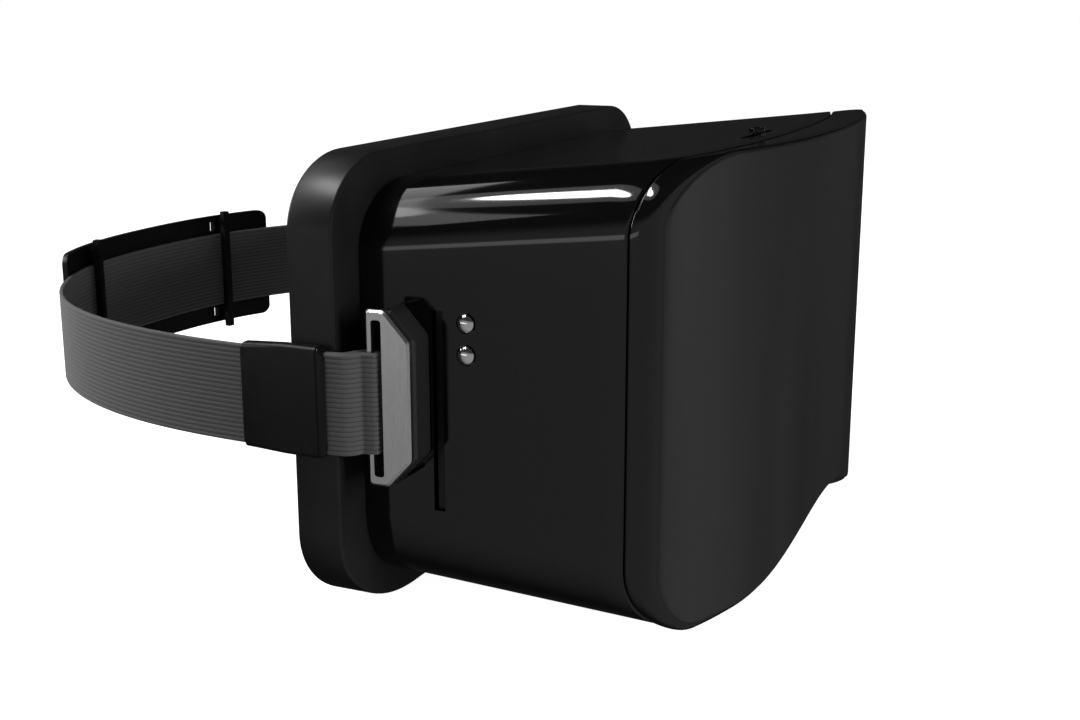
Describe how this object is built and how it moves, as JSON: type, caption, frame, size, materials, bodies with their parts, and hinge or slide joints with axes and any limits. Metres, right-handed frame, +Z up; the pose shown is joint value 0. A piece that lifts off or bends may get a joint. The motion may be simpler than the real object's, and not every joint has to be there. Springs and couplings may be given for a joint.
{
  "type": "vr headset",
  "caption": "Head-worn display: rounded glossy housing with a curved satin front panel, padded face frame, sliding lenses and a ribbed webbing head strap on pivoting anchors.",
  "frame": {"origin": "middle of the bounding box's bottom face", "axes": "+Z up, the front panel faces -Y, the strap loops round the head on the +Y side, and the wearer's right is -X"},
  "size_m": [0.21, 0.2304, 0.1194],
  "materials": {
    "gloss_shell": "high gloss",
    "front_cover": "satin",
    "face_ring": "satin",
    "face_foam": "foam with a knitted skin",
    "inner_black": "matt",
    "lens": "clear",
    "steel": "satin",
    "gear_nylon": "satin",
    "knob": "gloss",
    "screen": "gloss",
    "circuit": "solder mask",
    "battery": "film wrap",
    "vent_grey": "satin",
    "button_chrome": "polished",
    "anchor_silver": "satin",
    "anchor_black": "gloss",
    "webbing": "ribbed elastic webbing",
    "strap_hardware": "satin"
  },
  "bodies": {
    "headset": {"main_housing": "gloss_shell", "front_bezel": "gloss_shell", "front_panel": "front_cover", "face_frame": "face_ring", "face_cushion": "face_foam", "lens_plate": "inner_black", "upper_guide_rod": "steel", "lower_guide_rod": "steel", "pinion_axle": "steel", "display_panel": "screen", "display_bracket": "inner_black", "display_screw_1": "steel", "display_screw_2": "steel", "display_screw_3": "steel", "display_screw_4": "steel", "main_board": "circuit", "chip_shield": "steel", "battery_pack": "battery", "left_vent_insert": "vent_grey", "right_vent_insert": "vent_grey", "button_board": "circuit", "volume_up_switch": "steel", "volume_down_switch": "steel"},
    "volume_up": {"volume_up_button": "button_chrome"},
    "volume_down": {"volume_down_button": "button_chrome"},
    "left_lens_slide": {"left_lens_carrier": "inner_black", "left_lens": "lens", "left_lens_ring": "inner_black", "left_rack": "gear_nylon", "ipd_knob": "knob"},
    "right_lens_slide": {"right_lens_carrier": "inner_black", "right_lens": "lens", "right_lens_ring": "inner_black", "right_rack": "gear_nylon"},
    "pinion": {"ipd_pinion": "gear_nylon"},
    "strap": {"head_strap": "webbing", "rear_plate": "strap_hardware", "left_strap_keeper": "strap_hardware", "right_strap_keeper": "strap_hardware", "left_anchor_plate": "anchor_silver", "right_anchor_plate": "anchor_silver", "left_anchor_base": "anchor_black", "right_anchor_base": "anchor_black", "left_pivot_screw": "steel", "right_pivot_screw": "steel"},
    "right_slider": {"right_strap_slider": "strap_hardware"},
    "left_slider": {"left_strap_slider": "strap_hardware"}
  },
  "joints": [
    {"name": "volume_up_press", "type": "slide", "parent": "headset", "child": "volume_up", "axis": [1, 0, 0], "range_m": [0, 0.001], "stiffness_N_per_m": 600, "springref_m": -0.0008},
    {"name": "volume_down_press", "type": "slide", "parent": "headset", "child": "volume_down", "axis": [1, 0, 0], "range_m": [0, 0.001], "stiffness_N_per_m": 600, "springref_m": -0.0008},
    {"name": "ipd_slide", "type": "slide", "parent": "headset", "child": "left_lens_slide", "axis": [1, 0, 0], "range_m": [-0.005, 0.005]},
    {"name": "right_lens_travel", "type": "slide", "parent": "headset", "child": "right_lens_slide", "axis": [1, 0, 0], "range_m": [-0.005, 0.005]},
    {"name": "pinion_spin", "type": "hinge", "parent": "headset", "child": "pinion", "pos_m": [0, -0.0655, 0.0975], "axis": [0, 1, 0], "range_deg": [-75, 75]},
    {"name": "strap_tilt", "type": "hinge", "parent": "headset", "child": "strap", "pos_m": [0, -0.0348, 0.0609], "axis": [1, 0, 0], "range_deg": [-10, 10]},
    {"name": "right_slider_slide", "type": "slide", "parent": "strap", "child": "right_slider", "axis": [0, 1, 0], "range_m": [0, 0.008]},
    {"name": "left_slider_slide", "type": "slide", "parent": "strap", "child": "left_slider", "axis": [0, 1, 0], "range_m": [0, 0.008]}
  ],
  "couplings": [
    {"joint": "right_lens_travel", "follows": "ipd_slide", "ratio": -1},
    {"joint": "pinion_spin", "follows": "ipd_slide", "rad_per_m": 250}
  ]
}
